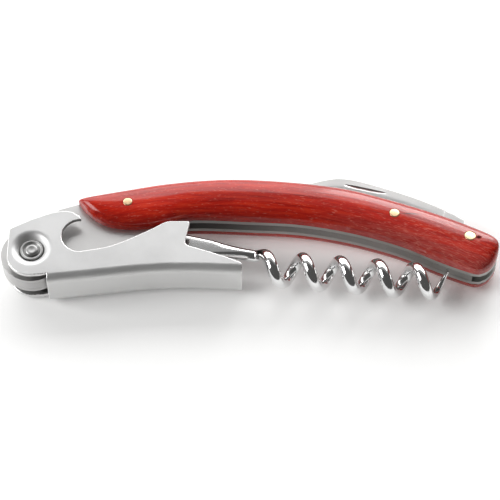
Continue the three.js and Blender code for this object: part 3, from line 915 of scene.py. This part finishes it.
worm_piece = new_object("worm_wire", worm_mesh(), CHROME, "worm")
sharpen(worm_piece, 50)
heading = math.atan2(SHANK.y, SHANK.x)
heading_degrees = math.degrees(heading)
eye = arc(WORM_PIVOT, EYE_RADIUS, heading_degrees + 25, heading_degrees + 335, 56)
for side in (-1, 1):
    corner = Vector((NECK_LENGTH, side * NECK_HALF_WIDTH, 0))
    corner.rotate(Euler((0, 0, heading)))
    eye.append((WORM_PIVOT.x + corner.x, WORM_PIVOT.y + corner.y))
eye_mesh = plate("worm_eye", eye, TANG_HALF)
eye_piece = new_object("worm_eye", eye_mesh, CHROME, "worm")
drill(eye_piece, [(WORM_PIVOT, RIVET_RADIUS + STEEL_PLAY)])
soften(eye_piece, EYE_BEVEL)
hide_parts("worm")
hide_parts("worm")


# ---- Blade ----


def plan(points):
    """Points given in millimetres from the blade's pivot, seen from above."""
    return [Vector((BLADE_PIVOT.x + x * MM, BLADE_PIVOT.y + y * MM, 0)) for x, y in points]


def blade_mesh():
    """The ground blade: a fine grid between its edge and its back, tapered across."""
    rows = 90
    columns = 28
    edge = resampled(plan([BLADE_TIP] + BLADE_EDGE_LINE), rows)
    back = resampled(plan([BLADE_TIP] + BLADE_BACK_LINE), rows)
    vertices = []
    for side in (-1, 1):
        for edge_point, back_point in zip(edge, back):
            for j in range(columns + 1):
                u = j / columns
                half = lerp(BLADE_EDGE, BLADE_BACK, smoothstep(u, -0.4, 0.75)) / 2
                p = edge_point.lerp(back_point, u)
                vertices.append((p.x, p.y, MID_Z + side * half))
    wide = columns + 1
    layer = len(vertices) // 2
    faces = []
    for i in range(rows):
        for j in range(columns):
            a = i * wide + j
            faces.append((a, a + 1, a + wide + 1, a + wide))
            faces.append((layer + a, layer + a + wide, layer + a + wide + 1, layer + a + 1))
        for a in (i * wide, i * wide + columns):
            faces.append((a, a + wide, layer + a + wide, layer + a))
    for j in range(columns):
        a = rows * wide + j
        faces.append((a, a + 1, layer + a + 1, layer + a))
    return mesh_from("blade_ground", vertices, faces)


def nick_tool():
    """The grinder's path for the nail nick: steep on the back's side, and run out at both ends."""
    start, end = plan([NICK_FROM, NICK_TO])
    run = end - start
    across = Vector((-run.y, run.x, 0)).normalized()
    top = MID_Z + BLADE_BACK / 2
    vertices = []
    rings = []
    steps = 40
    for i in range(steps + 1):
        t = i / steps
        swell = max(0.05, (1 - abs(2 * t - 1) ** 2.6)) ** 0.5
        points = []
        for shift, height in NICK_SECTION:
            p = start.lerp(end, t) + across * NICK_WIDTH * shift * (0.35 + 0.65 * swell)
            rise = height * NICK_DEPTH * (swell if height < 0 else 1)
            points.append((p.x, p.y, top + rise))
        rings.append(add_ring(vertices, points))
    faces = bridge(rings) + [tuple(rings[0]), tuple(rings[-1])]
    tool = bpy.data.objects.new("nick", mesh_from("nick", vertices, faces))
    bpy.context.scene.collection.objects.link(tool)
    return tool


blade_piece = new_object("blade_ground", blade_mesh(), BLADE_STEEL, "blade")
carve(blade_piece, nick_tool())
sharpen(blade_piece, 16)
heel = [(p.x, p.y) for p in plan([BLADE_BACK_LINE[-1], BLADE_EDGE_LINE[-1]])]
heel += arc(BLADE_PIVOT, HEEL_RADIUS, 195, 450, 60)
heel += [(p.x, p.y) for p in plan(HEEL_SHOULDER)]
heel_mesh = plate("blade_heel", heel, TANG_HALF)
heel_piece = new_object("blade_heel", heel_mesh, BLADE_STEEL, "blade")
drill(heel_piece, [(BLADE_PIVOT, PINS["pin_rear"][1] + STEEL_PLAY)])
soften(heel_piece, HEEL_BEVEL, segments=3)
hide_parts("blade")
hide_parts("blade")


# ---- Stage, lights and camera ----

floor_mesh = bpy.data.meshes.new("floor")
quadrants = ((-1, -1), (1, -1), (1, 1), (-1, 1))
floor_corners = [(x * FLOOR_REACH, y * FLOOR_REACH, 0) for x, y in quadrants]
floor_mesh.from_pydata(floor_corners, [], [(0, 1, 2, 3)])
floor = bpy.data.objects.new("floor", floor_mesh)
bpy.context.scene.collection.objects.link(floor)
floor_look = Look(
    "floor_paper",
    Base_Color=(0.95, 0.95, 0.945, 1),
    Roughness=0.9,
    Emission_Color=(1, 0.995, 0.985, 1),
    Emission_Strength=0.15,
)
floor_look.bump(floor_look.noise(floor_look.stretched((1.5, 1.5, 1.5))), 0.01, 0.1)
floor_mesh.materials.append(floor_look.material)

world = bpy.data.worlds.new("studio")
world.use_nodes = True
background = world.node_tree.nodes["Background"]
background.inputs["Color"].default_value = (1.0, 0.985, 0.97, 1)
background.inputs["Strength"].default_value = 0.09
bpy.context.scene.world = world


def softbox(name, elevation, azimuth, size, radiance, distance=1.0):
    """A rectangular light on a sphere about the object. Azimuth 0 is behind it, along +Y."""
    up, around = math.radians(elevation), math.radians(azimuth)
    level = math.cos(up)
    place = Vector((level * math.sin(around), level * math.cos(around), math.sin(up))) * distance
    light = bpy.data.lights.new(name, "AREA")
    light.shape = "RECTANGLE"
    light.size, light.size_y = size
    light.energy = math.pi * size[0] * size[1] * radiance
    lamp = bpy.data.objects.new(name, light)
    bpy.context.scene.collection.objects.link(lamp)
    lamp.location = place
    lamp.rotation_euler = (-place).to_track_quat("-Z", "Y").to_euler()


softbox("panel_upper", 60, 2, (2.2, 0.42), 0.26)
softbox("panel_lower", 29, -2, (2.4, 0.84), 2.9)
softbox("panel_glow", 24, 17, (0.3, 0.5), 5.0, distance=0.95)
softbox("key_left", 34, -96, (0.6, 0.6), 7.0)

camera_data = bpy.data.cameras.new("camera")
camera_data.lens = 141.1
camera_data.sensor_width = 36
camera_data.clip_start = 0.01
camera = bpy.data.objects.new("camera", camera_data)
bpy.context.scene.collection.objects.link(camera)
camera.location = TARGET + Vector((0, -math.cos(ELEVATION), math.sin(ELEVATION))) * DISTANCE
camera.rotation_euler = (TARGET - camera.location).to_track_quat("-Z", "Y").to_euler()
bpy.context.scene.camera = camera
bpy.context.scene.view_settings.view_transform = "Standard"
